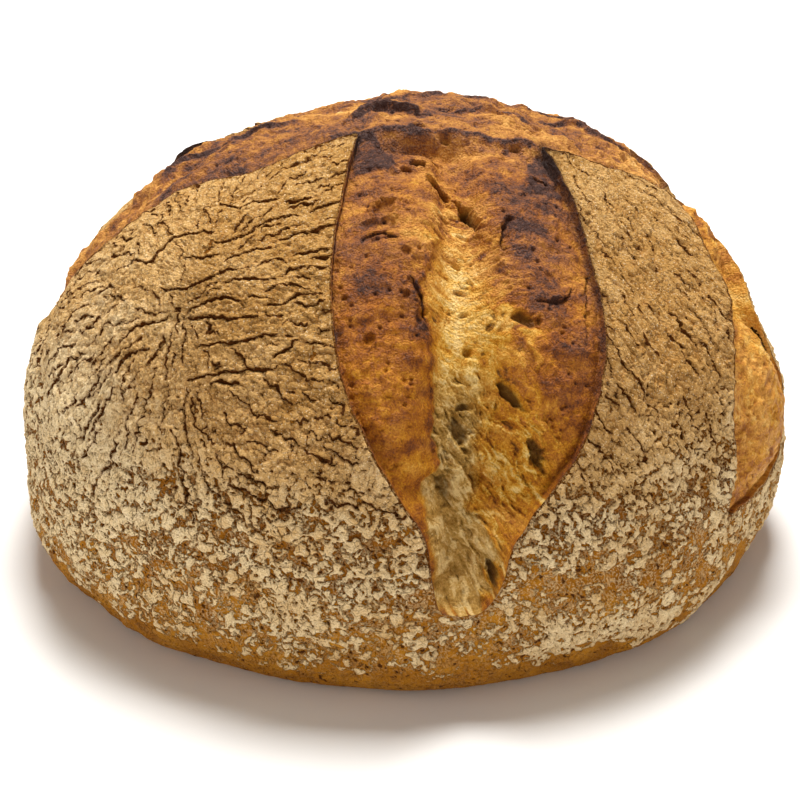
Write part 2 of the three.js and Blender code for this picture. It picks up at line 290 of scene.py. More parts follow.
def nearest_on(line, rays):
    """For each ray, the nearest point of a line of rays: its distance in millimetres, its
    share of the way along the line, the point, and the direction of the line there."""
    start, chord = line[:-1], np.diff(line, axis=0)
    squared = np.maximum((chord ** 2).sum(-1), 1e-12)
    distance, share = np.empty((2, len(rays)))
    point, heading = np.empty_like(rays), np.empty_like(rays)
    for low in range(0, len(rays), NEAREST_BATCH):
        batch = slice(low, low + NEAREST_BATCH)
        some = rays[batch]
        parts = np.clip((some @ chord.T - (start * chord).sum(-1)) / squared, 0, 1)
        apart = sum((some[:, None, k] - start[None, :, k] - parts * chord[None, :, k]) ** 2
                    for k in range(3))
        best = apart.argmin(1)
        row = np.arange(len(some))
        part = parts[row, best]
        distance[batch] = SKIN_RADIUS * np.sqrt(apart[row, best])
        share[batch] = (best + part) / len(chord)
        point[batch] = start[best] + chord[best] * part[:, None]
        heading[batch] = chord[best]
    return distance, share, point, heading


def is_inside(outline, places):
    """True within a closed outline, where a line to one side crosses it an odd number of
    times."""
    inside = np.zeros(len(places), bool)
    x, y = places.T
    for (x1, y1), (x2, y2) in zip(outline, np.roll(outline, -1, 0)):
        if y1 != y2:
            inside ^= ((y1 > y) != (y2 > y)) & (x < x1 + (y - y1) * (x2 - x1) / (y2 - y1))
    return inside


def in_openings(places):
    """True within the cross or the flank opening."""
    return is_inside(outlines[0], places) | is_inside(outlines[1], places)


def closed(line):
    """Rays of a closed line of the skin map, which starts again at its last point."""
    return rays_of(np.concatenate([line[-1:], line]))


def rippled(line, height, wave, seed):
    """A line of the skin map shifted a little each way by noise."""
    flat = np.column_stack([line / wave, np.full(len(line), seed + 0.5)])
    return line + height * np.column_stack([noise(flat, seed), noise(flat, seed + 1)])


outlines = [rippled(np.concatenate([curve_through(lip, 10)[1:] for lip in lips]),
                    LIP_RIPPLE, LIP_RIPPLE_WAVE, 3) for lips in (CROSS_LIPS, FLANK_LIPS)]

# The nearest lip of each ray, the way from the crust into its opening, and the finer mesh.
in_opening = in_openings(places_of(rays))
cross, flank = [nearest_on(closed(line), rays) for line in outlines]
lip_distance = np.minimum(cross[0], flank[0])
lip_point = np.where((cross[0] < flank[0])[:, None], cross[2], flank[2])
inward = unit(rays - lip_point) * np.where(in_opening, 1, -1)[:, None]
near = lip_distance < GATHER_REACH
pulled = np.where(near, (lip_distance / GATHER_REACH) ** (GATHER_POWER - 1), 1)
rays = unit(lip_point + (rays - lip_point) * pulled[:, None])
lip_distance = lip_distance * pulled
places = places_of(rays)
form = form_of(rays)
ear_height = LIP_RISE + bumps(EARS, places) + 0.5 * noise(form / 4.5, 14)


# ---- The bloom ----
# Dough that has risen through the score and baked bare: a browned, convex skin at both lips,
# torn open along the middle of each arm to stretched crumb.
BLOOM_DROP = 1.8         # depth of the bloom where it meets the cut wall
CROWN_LIFT = 1.5         # how much less that is on the crown and behind it
BLOOM_SWELL = 3.2        # how far the bloom swells back up away from the wall
BLOOM_RUN = 6.0          # distance over which it swells
WALL = 0.12, 0.8         # distances from the lip at which the cut wall starts and ends
TEARS = [                # a line of the skin map, and depths and half widths along it
    ([(17, -22), (20, -52), (22, -85), (24, -114), (26, -141), (25, -168)],
     (5, 8, 10, 14, 15, 12), (6, 8, 9, 13, 15, 12)),
    ([(-4, -22), (10, -21), (26, -20)], (3, 5, 2), (3, 4, 3)),
    ([(14, 52), (17, 85), (17, 118), (15, 150)], (4, 9, 12, 9), (6, 9, 13, 10)),
    ([(-70, 8), (-95, 3), (-122, 2), (-142, 6)], (2, 5, 6, 4), (6, 8, 9, 7)),
    ([(112, -12), (124, -28), (131, -50), (140, -76)], (2, 4, 4, 3), (6, 7, 7, 6)),
]
TEAR_SLOPE = 1.7         # steepest rise of a torn side
ROLL_FRONT = [           # the cross arm's bloom stands on the near lips as a roll, and lies
    (-96, -17), (-56, -19.5), (-33, -19), FRONT_LEFT_TIP, (4, -14), (28, -12),
    FRONT_RIGHT_TIP, (67, -8), (88, 1)]            # over the front arm from tip to tip
ROLL_RISE = (0, 1.2, 2, 3, 2.6, 2, 2, 1.2, 0)
ROLL_RUN = 20.0          # how far back the roll is raised
ROLL_FACE = 4.0          # thickness of its front face
CRUMB = [                # outlines of the bare crumb
    [(19, -47), (14, -54), (11, -69), (6, -83), (12, -100), (12, -112), (15, -131), (16, -136),
     (9, -141), (10, -150), (14, -163), (17, -175.5), (27, -178.5), (37.5, -175), (41.5, -164),
     (43.5, -152), (52, -137), (53, -125), (49, -115), (46, -104), (42, -93), (37, -78),
     (30, -66), (27, -56), (23, -48)],
    [(12, 62), (6, 80), (6, 100), (3, 120), (6, 138), (15, 152), (26, 138), (30, 120),
     (29, 98), (26, 78), (20, 62)],
]
CRUMB_STEP = 1.3         # height of the torn edge of the bloom's skin over the crumb


def value_along(values, share):
    """A value that runs evenly through a list, read at a share of the way along it."""
    return np.interp(share, np.linspace(0, 1, len(values)), values)


def tear_depth(rays, lip_distance):
    """Depth of the deepest tear: level near its line and falling off with the fourth power
    of the distance, never steeper from the lip than a torn side can stand."""
    deepest = np.zeros(len(rays))
    for line, depths, halves in TEARS:
        distance, share = nearest_on(rays_of(curve_through(line)), rays)[:2]
        depth = value_along(depths, share) / (1 + (distance / value_along(halves, share)) ** 4)
        deepest = np.maximum(deepest, np.minimum(depth, TEAR_SLOPE * lip_distance))
    return deepest


def roll_rise(rays, places):
    """Height of the roll: full at its front edge, which falls steeply, and dying away behind
    it. The second value is the distance behind that edge."""
    curve = curve_through(ROLL_FRONT)
    distance, share = nearest_on(rays_of(curve), rays)[:2]
    edge = curve[np.round(share * (len(curve) - 1)).astype(int)]
    behind = np.where(places[:, 1] >= edge[:, 1], distance, -distance)
    behind = behind + layered(form_of(rays), (1.6, 6, 15), (0.8, 2.2, 16))
    rise = value_along(ROLL_RISE, share)
    raised = smooth(behind, -ROLL_FACE, 0) * np.exp(-np.maximum(behind, 0) / ROLL_RUN)
    return rise * raised, behind


def depth_inside(outline, rays, places):
    """Distance in millimetres to an outline of the skin map, positive within it."""
    distance = nearest_on(closed(outline), rays)[0]
    return np.where(is_inside(outline, places), distance, -distance)


opening = np.flatnonzero(in_opening)
o_rays, o_places, o_form, o_lip = (a[opening] for a in (rays, places, form, lip_distance))
o_x, o_y = o_places.T
FRONT_MIDDLE = 22.0      # the middle of the front and back arms on the skin map
FLANK_START = 97.0       # where the flank opening starts on it


def front_frame(places):
    """The skin map of the front and back arms with its lines bent along the strands of the
    crumb: they fall from both sides towards the middle of the arm near the crown, and from
    upper left to lower right below."""
    across, along = places[:, 0] - FRONT_MIDDLE, places[:, 1]
    low = smooth(-along, 78, 120)
    slope = (1 - low) * -0.35 * np.abs(across) + low * 0.75 * across
    return across, along + slope


across, along = front_frame(o_places)
level = np.full(len(opening), 0.5)
wander = layered(o_form, (0.5, 8, 21), (0.3, 3.4, 22))


def strand_space(length, width, layer, skew=0.0):
    """Places for noise that is long along the strands and narrow across them, with the
    strands turned by a skew."""
    return np.column_stack([across / length + wander, (along + skew * across) / width + 2 * wander,
                            level + layer])


def strands(length, width, layer):
    """A net of stretched strands from 0 to 1: the crests of three skewed noises, which cross
    and leave holes between them."""
    crests = [1 - 2.4 * np.abs(noise(strand_space(length, width, layer + k, skew), 31 + k))
              for k, skew in enumerate((-0.42, 0.05, 0.5))]
    return np.clip(np.max(crests, 0), 0, 1) ** 1.5


sharp_side = smooth(-o_y, 60, 72) * smooth(-across, -2, 2)
rag = (layered(o_form, (1.2, 8, 11), (0.9, 2.6, 12))
       + (0.8 + 4.2 * (1 - sharp_side)) * noise(strand_space(12.0, 1.9, 23), 13))
crumb = rag + np.max([depth_inside(curve_through(line + line[:1], 4)[1:], o_rays, o_places)
                      for line in CRUMB], 0)
bare = smooth(crumb, -0.4, 0.8)
net = strands(9.0, 3.0, 0)
fine_net = strands(4.0, 1.4, 5)
fibre = np.clip(1 - 2.2 * np.abs(noise(strand_space(9.0, 1.3, 13), 36)), 0, 1)
thread = np.clip(1 - 6 * np.abs(np.minimum(*[noise(strand_space(11.0, 5.0, 17 + k, skew), 46 + k)
                                             for k, skew in enumerate((-0.3, 0.45))])), 0, 1)
patchy = noise(strand_space(16.0, 6.0, 40), 49)
web = 0.66 * net + 0.34 * fine_net
valley = smooth(-o_y, 96, 122)
hollow = np.clip(1.7 + 1.3 * valley + 2.0 * noise(o_form / 9, 38), 0.4, 4.6)
edge_step = CRUMB_STEP * (0.35 + 0.65 * sharp_side)
crumb_relief = (0.2 - edge_step - (0.36 + 0.3 * valley) * hollow * (1 - web) ** 1.6
                + 0.1 * fibre + 0.3 * thread * valley + 0.3 * patchy)
fray = 9.0 - 7.5 * sharp_side            # how far outside the crumb the skin is stretched
stretched_skin = smooth(crumb, -fray, 0) * (1 - bare)

PITS = [                 # holes and burst bubbles: place, half sizes, turn, depth, rim
    ((-5, -54), 4.2, 3.8, 20, 1.1, 1.2), ((13, -40), 5.8, 2.2, -32, 5.0, 0.4),
    ((23, -49), 6.4, 2.3, -58, 5.0, 0.4), ((6, -31), 3.4, 1.6, 10, 2.6, 0.2),
    ((-1, -24), 4.6, 1.8, 5, 3.0, 0.0), ((46, -30), 2.8, 1.2, -8, 2.6, 0.3),
    ((6, -12), 2.0, 1.0, 10, 1.6, 0.3), ((15, -15), 2.6, 1.1, -10, 1.6, 0.3),
    ((34, 3), 2.4, 1.0, 0, 1.6, 0.2), ((38, -14), 2.2, 1.1, 5, 1.6, 0.2),
    ((2, -35), 2.2, 1.3, 0, 1.8, 0.2), ((12, -26), 2.4, 1.0, 20, 1.8, 0.2),
    ((21, -58), 1.8, 0.5, -20, 1.2, 0.0), ((20, -69), 2.0, 0.5, -15, 1.2, 0.0),
    ((21, -78), 2.4, 0.7, -15, 1.6, 0.0), ((23, -86), 1.6, 0.8, 20, 1.4, 0.0),
    ((25, -98), 1.4, 2.0, -15, 1.6, 0.0), ((25, -116), 3.2, 1.6, 20, 2.0, 0.1),
    ((-10, -98), 2.2, 1.9, 0, 1.2, 0.4), ((-18, -84), 1.2, 0.8, 10, 1.2, 0.1),
    ((2, -84), 2.2, 1.2, 70, 1.0, 0.3), ((7, -90), 2.6, 1.4, 60, 1.2, 0.3),
    ((2, -70), 2.0, 1.4, 0, 0.7, 0.3), ((-8, -66), 2.6, 1.0, 25, 0.8, 0.2),
    ((42, -87), 4.4, 2.4, -10, 2.0, 0.1), ((40, -110), 7.0, 2.0, -38, 2.6, 0.2),
    ((51, -125), 6.0, 2.4, -60, 2.4, 0.2), ((41, -164), 2.2, 4.5, 8, 2.4, 0.1),
    ((24, -124), 6.4, 4.0, -50, 2.0, 0.4), ((19, -143), 6.0, 3.6, -60, 1.8, 0.4),
    ((33, -138), 5.0, 2.6, -50, 1.6, 0.3), ((149, -95), 3.4, 2.8, 0, 2.6, 0.3),
    ((123, -58), 4.2, 0.9, -75, 1.4, 0.1), ((14, 74), 3.0, 2.0, 20, 2.0, 0.2),
    ((18, 108), 4.0, 2.4, 50, 2.2, 0.2), ((-10, 92), 2.4, 2.0, 0, 1.4, 0.3),
    ((40, 100), 2.0, 1.6, 0, 1.2, 0.3),
]


def pit_fields(rays):
    """Relief of the pits, each a rounded bowl with a raised rim, and how deep within one a
    place is, from 0 at the rim to 1."""
    relief, inner = np.zeros((2, len(rays)))
    for at, half_x, half_y, turn, depth, rim in PITS:
        middle = rays_of(at)
        chosen = np.flatnonzero(rays @ middle > math.cos(2.2 * max(half_x, half_y) / SKIN_RADIUS))
        offset = places_of(rays[chosen]) - at
        cos, sin = math.cos(math.radians(turn)), math.sin(math.radians(turn))
        far = np.hypot((offset[:, 0] * cos + offset[:, 1] * sin) / half_x,
                       (offset[:, 1] * cos - offset[:, 0] * sin) / half_y)
        far = far * (1 + layered(form_of(rays[chosen]), (0.5, 3.2, 41), (0.3, 1.3, 42)))
        bowl = smooth(1.08 - far, 0, 0.62)
        relief[chosen] += rim * bell(far - 1.12, 0.22) - depth * bowl
        inner[chosen] = np.maximum(inner[chosen], bowl * min((depth / 2.4) ** 2, 1.0))
    return relief, inner


pit_relief, pit_shade = pit_fields(o_rays)
on_crown = smooth(o_y, -16, 0)
long_form = o_form * (0.5, 1, 1)         # wrinkles of the crown run from side to side
skin_lumps = (layered(long_form, (0.8 + 0.9 * on_crown, 6, 51), (on_crown, 12, 50),
                      (0.42 + 0.3 * on_crown, 2.8, 52)) + 0.22 * noise(o_form / 1.4, 53))
on_flank = smooth(o_x, FLANK_START, FLANK_START + 7)
wrinkle = 1 - 2 * np.abs(np.where(on_flank > 0.5, noise(o_form / (9, 9, 2.6) + wander[:, None], 57),
                                  noise(o_form / (9, 2.4, 2.4), 56)))
bubble_middle, bubble_pick = plates(o_form / 3.4, 54)[1:]
blister = (0.25 + 0.9 * bubble_pick ** 3) * (1 - np.minimum(bubble_middle / 0.75, 1) ** 2)
pock_middle, pock_pick = plates(o_form / 2.4, 55)[1:]
pock = np.where(pock_pick > 0.7, smooth(0.36 - pock_middle, 0, 0.2), 0)
skin_relief = (skin_lumps + 0.75 * blister - 0.7 * pock + (0.5 * on_crown + 0.55 * on_flank) * wrinkle
               + stretched_skin * (0.45 * fibre + 0.9 * web - 0.7))
CREASES = [              # creases in the bloom: a line, a half width
    ([(36, -50), (33, -58), (34, -66)], 1.2),
    ([(-12, -66), (-6, -63), (0, -65)], 0.7),
    ([(3, -78), (7, -84), (8, -92)], 0.9),
    ([(56, -72), (52, -78), (44, -80)], 0.7),
    ([(64, -62), (62, -74), (62, -88)], 0.7),
]
FLAPS = [                # skins of burst bubbles that stand up: a line, a rise, a run back
    ([(-15, -6), (-11, -2.5), (-5, -0.5), (0, -1), (6, -4)], 3.3, 8.0),
    ([(34, 22), (47, 25), (60, 27), (74, 30), (86, 30)], 1.5, 4.0),
    ([(-92, 4), (-85, 12), (-76, 19), (-64, 18)], 1.6, 4.0),
    ([(-58, 19), (-50, 21), (-40, 17)], 1.2, 4.0),
    ([(18, 12), (26, 14), (34, 12)], 1.2, 6.0),
    ([(-66, 3), (-54, 8), (-42, 7), (-34, 10)], 1.6, 6.0),
    ([(48, 12), (58, 17), (70, 15), (80, 18)], 1.6, 5.0),
    ([(24, 2), (34, 5), (46, 2)], 1.3, 5.0),
    ([(16, 1), (24, 4), (30, 3)], 1.2, 5.0),
    ([(-6, 12), (4, 15), (16, 13)], 1.2, 5.0),
]


def taper(share):
    """How full a line is at a share of the way along it: 0 at both ends, 1 in the middle."""
    return np.sqrt(np.clip(4 * share * (1 - share), 0, 1))


def flap_fields(rays):
    """Relief of the flaps, each steep in front of its line and easing back behind it, and how
    near a place is to the front of one, from 0 to 1."""
    relief, front = np.zeros((2, len(rays)))
    for line, rise, run in FLAPS:
        distance, share, point = nearest_on(rays_of(curve_through(line)), rays)[:3]
        back = SKIN_RADIUS * ((rays - point)[:, 1])
        back = back + layered(form_of(rays), (1.3, 5, 17), (0.5, 1.8, 18))
        beside = np.sqrt(np.maximum(distance ** 2 - back ** 2, 0)) * (distance > np.abs(back))
        held = rise * taper(share) * bell(beside, 2)
        relief += held * smooth(back, -1.2, 0.2) * np.exp(-np.maximum(back, 0) / run)
        front = np.maximum(front, held / 2 * bell(back + 0.4, 0.9))
    return relief, np.clip(front, 0, 1)


flap_relief, flap_front_shade = flap_fields(o_rays)

SCORCHED = [             # pointed skins beside the tips of the lips, browned darkest
    [(-15, -13), (-9, -15), (-3, -24), (-1, -36), (-8, -33), (-15, -36)],
    [(48, -10), (44, -16), (41, -27), (42, -38), (48, -35), (53, -37), (52, -24)],
]
scorched = np.max([depth_inside(np.array(line, float), o_rays, o_places)
                   for line in SCORCHED], 0) + 0.8 * noise(o_form / 3, 19)
scorched = smooth(scorched, -0.6, 1.0)


def crack_fields(rays, found):
    """Relief of some cracks, and how near to the middle of one a place is, where 1 is within
    it and 0 is 2 mm outside. The skin above a crack ends in a raised, steep shelf, and below it
    ramps back up slowly."""
    relief, middle_of = np.zeros((2, len(rays)))
    at = form_of(rays)
    rough = np.clip(1 + layered(at, (0.8, 1.7, 62), (0.7, 5, 61)), 0.12, 2)
    rays = unit(rays + shifts(at, (0.6, 1.9, 63), (0.9, 4.6, 66)) / SKIN_RADIUS)
    for line, half in found:
        line = rays_of(line)
        centre = unit(line.mean(0))
        reach = math.acos(min(1.0, float((line @ centre).min()))) + (3 + 6 * half) / SKIN_RADIUS
        chosen = np.flatnonzero(rays @ centre > math.cos(reach))
        if not len(chosen):
            continue
        distance, share, point, heading = nearest_on(line, rays[chosen])
        normal = unit(np.cross(rays[chosen], heading))
        if normal[:, 2].mean() < 0:
            normal = -normal
        offset = SKIN_RADIUS * ((rays[chosen] - point) * normal).sum(-1)
        ends = taper(share)
        thick = half * (0.4 + 0.6 * ends) * rough[chosen]
        beyond = np.sqrt(np.maximum(distance ** 2 - offset ** 2, 0))
        across = np.hypot(np.where(offset > 0, offset, offset / 1.7), beyond) / thick
        depth = (0.35 + 1.4 * half) * ends * np.clip(1 - across, 0, 1) ** 0.8
        shelf = (0.1 + 0.5 * half) * ends * np.where(offset > 0, np.exp(-(across - 1) ** 2 / 6), 0)
        relief[chosen] += shelf * (across > 0) - depth
        middle_of[chosen] = np.maximum(middle_of[chosen],
                                       1 - (np.hypot(offset - 0.2 * thick, beyond)
                                            - 0.25 * thick * ends) / 2)
    return relief, middle_of


crease_relief, crease = crack_fields(o_rays, [(curve_through(line, 4), half)
                                               for line, half in CREASES])
drop = BLOOM_DROP - CROWN_LIFT * smooth(o_y, -22, -6)
swell = BLOOM_SWELL * (1 - np.exp(-o_lip / BLOOM_RUN)) - drop
roll, behind_roll = roll_rise(o_rays, o_places)
bloom_relief = (swell + roll - tear_depth(o_rays, o_lip) + pit_relief
                + (skin_relief * (1 - bare) + crease_relief + flap_relief + 0.6 * scorched)
                * smooth(o_lip, 0, 2)
                + crumb_relief * bare)


# ---- The crust ----
# The outer skin, dusted with flour from the basket. It set early and cracked as the loaf
# went on rising: long shelves of crust pulled apart along the flow, fine plates between them.
PANELS = [               # where each quarter was stretched from, and the tilt of its flow
    ((-74, -71), -8),
    ((44, -6), -30),
    ((-70, 100), -30),
    ((88, 104), 34),
]
CROSSING = 17.0, 12.0    # where the arms of the score cross, and so where the quarters meet
FLOW_WIDTH = 50.0        # beyond this distance from its middle the flow of a quarter is even
CRACKS = [               # the longest shelves, along which the crust has lifted
    [(-97, -39), (-89, -42), (-84, -47), (-81, -45), (-77, -41), (-71, -42), (-62, -45)],
    [(-61, -50), (-54, -52), (-49, -52), (-46, -50), (-39, -49), (-33, -49)],
    [(-61, -32), (-54, -37), (-47, -38), (-39, -40)],
    [(-39, -42), (-34, -43), (-29, -42)],
    [(-30, -49), (-26, -48), (-18, -46)],
    [(-71, -52), (-65, -55), (-59, -56)],
    [(-57, -61), (-49, -60), (-42, -61)],
    [(-80, -60), (-71, -64), (-64, -65), (-58, -65), (-49, -67)],
    [(-58, -69), (-48, -72), (-40, -74)],
    [(-43, -82), (-36, -82), (-31, -81), (-25, -82)],
    [(-71, -73), (-62, -74), (-56, -76), (-51, -78)],
    [(-70, -76), (-66, -79), (-59, -80), (-54, -83), (-46, -85)],
    [(-67, -86), (-61, -89), (-53, -91), (-47, -91), (-40, -92)],
    [(-73, -95), (-65, -97), (-59, -98), (-47, -101), (-41, -101)],
    [(-100, -79), (-91, -77), (-84, -80)],
    [(-95, -71), (-89, -69), (-81, -72), (-77, -72)],
    [(-64, -100), (-54, -103)],
    [(-41, -99), (-39, -97), (-33, -95)],
    [(-42, -59), (-37, -58), (-28, -57), (-21, -57)],
    [(-35, -66), (-29, -66), (-23, -66)],
]
LONG_CRACK = 0.38        # half width of these
CRACK_TRIES = 6000       # random starts for the smaller cracks
CRACK_START = 200.0      # how far out to each side they start
CRACK_HEIGHTS = 60, 92   # cracks start above these heights: none lower, and all higher up
CRACK_ENDS = 0.16, 0.3   # the chance to end at each step, left and right of the crossing
CRACK_WAVER = 0.5        # spread of the turn at each step, in radians
CRACK_LEAST = 0.13       # least half width
CRACK_SPREAD = 0.27, 0.17                # how much more it can be, left and right
CRACK_ROOM = 2.4         # how far apart the cracks keep
CRACK_STEP = 1.3         # length of one step of a crack
CRACK_STEPS = 26         # most steps to either side of its start
CRACK_MAP = 240          # half the side of the part of the skin map that is searched
CRACK_REACH = 205.0      # how far from the crown cracks go


def flow_frame(places):
    """For each place the quarter it is in, and there the offset from the quarter's middle,
    turned by its tilt and over the flow's width."""
    panel = (places[:, 0] >= CROSSING[0]) + 2 * (places[:, 1] >= CROSSING[1])
    middle = np.array([at for at, tilt in PANELS], float)[panel]
    tilt = np.radians([tilt for at, tilt in PANELS])[panel]
    offset = (places - middle) / FLOW_WIDTH
    x = offset[:, 0] * np.cos(tilt) + offset[:, 1] * np.sin(tilt)
    y = offset[:, 1] * np.cos(tilt) - offset[:, 0] * np.sin(tilt)
    return panel, tilt, x, y


def flow_space(places, length, width):
    """Places for noise that follows the flow from a source in a channel, ln(sinh(x + iy)):
    its real part runs along the flow, and its imaginary part is wrapped round a cylinder."""
    panel, unused, x, y = flow_frame(places)
    potential = 0.5 * np.log(np.sinh(np.clip(x, -9, 9)) ** 2 + np.sin(y) ** 2 + 1e-6)
    stream = np.arctan2(np.cosh(x) * np.sin(y), np.sinh(x) * np.cos(y))
    return np.column_stack([potential * FLOW_WIDTH / length + 40 * panel,
                            np.cos(stream) * FLOW_WIDTH / width,
                            np.sin(stream) * FLOW_WIDTH / width])


def trace(start, turn, rng, taken, outside):
    """A crack from its start along the flow, whose direction is (sinh 2x, sin 2y), wavering,
    until it comes near another crack or the edge of the crust."""
    line = [start]
    steps = rng.geometric(CRACK_ENDS[int(start[0] >= CROSSING[0])]) + 1
    for unused in range(min(steps, CRACK_STEPS)):
        tilt, x, y = flow_frame(line[-1][None])[1:]
        ahead = np.array([math.sinh(2 * float(np.clip(x[0], -4, 4))), math.sin(2 * float(y[0]))])
        ahead = ahead / max(float(np.hypot(*ahead)), 1e-9)
        angle = tilt[0] + turn + rng.normal(0, CRACK_WAVER)
        cos, sin = math.cos(angle), math.sin(angle)
        ahead = np.array([ahead[0] * cos - ahead[1] * sin, ahead[0] * sin + ahead[1] * cos])
        place = line[-1] + ahead * CRACK_STEP
        row, column = np.round(place + CRACK_MAP).astype(int)
        if outside[row, column] or (np.hypot(*(taken - place).T) < CRACK_ROOM * 0.7).any():
            break
        line.append(place)
    return line


def find_cracks():
    """The named cracks and small ones traced both ways from random starts: the line of each
    and its half width."""
    rng = np.random.default_rng(7)
    side = np.arange(-CRACK_MAP, CRACK_MAP + 1.0)
    grid = np.stack(np.meshgrid(side, side, indexing="ij"), -1).reshape(-1, 2)
    outside = in_openings(grid) | (np.hypot(*grid.T) > CRACK_REACH)
    outside = outside.reshape(len(side), len(side))
    found = [(curve_through(line, 4), LONG_CRACK) for line in CRACKS]
    taken = np.concatenate([line for line, half in found])
    starts = rng.uniform(-CRACK_START, CRACK_START, (CRACK_TRIES, 2))
    for start in starts:
        row, column = np.round(start + CRACK_MAP).astype(int)
        high = form_of(rays_of(start)[None])[0, 2] > rng.uniform(*CRACK_HEIGHTS)
        right = int(start[0] >= CROSSING[0])
        room = CRACK_ROOM * (rng.uniform(1.4, 3) if right else 1)
        if outside[row, column] or not high or (np.hypot(*(taken - start).T) < room).any():
            continue
        one = trace(start, 0.0, rng, taken, outside)
        other = trace(start, math.pi, rng, taken, outside)
        line = np.array(one[::-1] + other[1:])
        if len(line) > 2:
            half = CRACK_LEAST + CRACK_SPREAD[right] * rng.uniform() ** 1.6
            found.append((line, half * min(1.0, 0.4 + len(line) / 14)))
            taken = np.concatenate([taken, line])
    return found


outer = np.flatnonzero(~in_opening)
c_rays, c_places, c_form, c_lip = (a[outer] for a in (rays, places, form, lip_distance))
height = c_form[:, 2]
crack_relief, crack = crack_fields(c_rays, find_cracks())
wobble = shifts(c_form, (0.3, 3.0, 71))
fine_seam, unused, fine_pick = plates(flow_space(c_places, 5.2, 2.6) + 1.7 * wobble, 74)
chip_middle = plates(c_form / (6.4, 6.4, 5.2) + 1.2 * wobble, 75)[1]
jitter = shifts(c_form, (0.42, 2.1, 95))
bit_seam = (plates(c_form / 4.6 + wobble + jitter, 80)[0]
            + layered(c_form, (0.2, 1.7, 83), (0.09, 0.9, 89)))
ragged_height = height + 8 * noise(c_form / 14, 84)
stretched = smooth(ragged_height, 46, 84)            # cracked along the flow
crackled = smooth(ragged_height, 104, 84)            # crazed all over
chips = smooth(ragged_height, 92, 58)                # flour shed in chips
lumps = (layered(c_form, (0.5, 13, 76), (0.42, 5, 77), (0.26, 2.3, 78), (0.1 + 0.07 * chips, 1.2, 79))
         + layered(c_form, (0.6, 5, 85), (0.3, 2.6, 86)) * smooth(height, 26, 8))
fine = ((fine_pick - 0.5) * 0.7 - 0.5 * (1 - smooth(fine_seam, 0.0, 0.16))) * stretched
crazing = 0.4 * smooth(bit_seam, -0.08, 0.26) * crackled * smooth(height, 8, 20)
FLOUR_SPOTS = [          # patches with more flour or less: place, reach, change
    ((-118, -95), 34, 0.4), ((-49, -175), 12, 1.0), ((77, -175), 14, 1.0), ((98, -166), 14, 1.0),
    ((118, -152), 14, 1.1), ((140, -138), 14, 1.1), ((157, -126), 12, 1.0), ((60, -162), 10, -1.5),
    ((80, -157), 10, -1.5), ((97, -149), 10, -1.5), ((118, -136), 10, -1.5),
    ((139, -121), 10, -1.5),
]
spots = bumps(FLOUR_SPOTS, c_places)
bareness = (np.interp(ragged_height, (6, 10, 15, 22, 34, 48, 70),
                      (1.8, 0.9, 0.1, -0.25, -0.45, -0.7, -1.6))
            + 0.2 * noise(c_form / 9, 82) - spots)
patch = 1.2 * (1 - (chip_middle / 0.62) ** 2) + 0.6 * noise(c_form / 2.4, 87) - bareness
gap = (np.interp(ragged_height, (12, 30, 60, 86), (0.17, 0.15, 0.1, -0.14))
       + 0.07 * noise(c_form / 7, 88) - 0.16 * np.clip(spots, 0, 1))
islet = np.minimum(2.6 * (bit_seam - gap), patch)
flour = np.clip(0.5 + 0.55 * islet, 0, 1)
flour_relief = 0.5 * smooth(islet, -0.3, 0.7) * chips
crust_relief = (ear_height[outer] * np.exp(-c_lip / LIP_RUN)
                + smooth(c_lip, 0, 1.2) * (crack_relief + lumps + fine + crazing + flour_relief))


# ---- The whole skin ----
# Crust and bloom meet at the lips, where the crust's cut edge leans out over the bloom. The
# skin of the baked loaf is one surface, and its pieces part where the material changes, at the
# corners of the quarters and at the waist.
wall = smooth(lip_distance, *WALL)
relief = np.zeros(len(rays))
relief[outer] = crust_relief
relief[opening] = (ear_height * (1 - wall))[opening] + bloom_relief * wall[opening]
relief = relief + waves(rays) + bumps(SWELLINGS, places)
relief *= smooth(rays[:, 2], *RELIEF_FADE)
lean = OVERHANG * np.exp(-lip_distance / 1.6) * np.where(in_opening, 1 - 1.9 * wall, 1)
skin = HEART + rays * (smooth_radius(rays) + relief)[:, None] + inward * lean[:, None]
skin[:, 2] = np.maximum(skin[:, 2], 0)


def vertex_normals(points, cells):
    """Normals of the whole skin, each the mean of the faces round its point."""
    corner = points[cells]
    face = np.cross(corner[:, 2] - corner[:, 0], corner[:, 3] - corner[:, 1])
    total = np.zeros_like(points)
    for k in range(3):
        for c in range(4):
            total[:, k] += np.bincount(cells[:, c], face[:, k], len(points))
    return unit(total)


normals = vertex_normals(skin, cells)
flow = flow_space(places, 4.4, 2.2)
fields = {name: np.zeros(len(rays), np.float32)
          for name in ("flour", "dusting", "crack", "toast_and_light", "bake", "char", "crumb", "pale",
                       "blush", "pit_shade")}
fields["crack"][outer] = np.max([crack, (0.86 - 1.6 * fine_seam) * stretched,
                                 (0.8 - 1.6 * bit_seam) * crackled], 0)
TOAST_AND_LIGHT_SPOTS = [               # where the flour has browned, and in the third entry painted light that pales the far left: place, reach, change
    ((-74, -70), 26, 0.1), ((-30, -60), 46, 0.2), ((-118, -70), 50, -0.6), ((85, -70), 46, 0.15),
]
# How browned the flour is, with painted light at the far left.
fields["toast_and_light"][outer] = np.clip(0.15 + 0.62 * smooth(height, 50, 88) + bumps(TOAST_AND_LIGHT_SPOTS, c_places)
                                 + 0.25 * noise(c_form / 12, 91), 0, 1)
fields["bake"][outer] = np.clip(0.12 + 0.42 * smooth(height, 16, 64) + 0.3 * noise(c_form / 9, 92)
                                + 0.45 * np.exp(-c_lip / 0.8), 0, 1)
fields["flour"][outer] = flour * smooth(c_lip, 0.1, 0.7)
fields["dusting"][outer] = 0.1 + 0.5 * smooth(ragged_height, 8, 28)
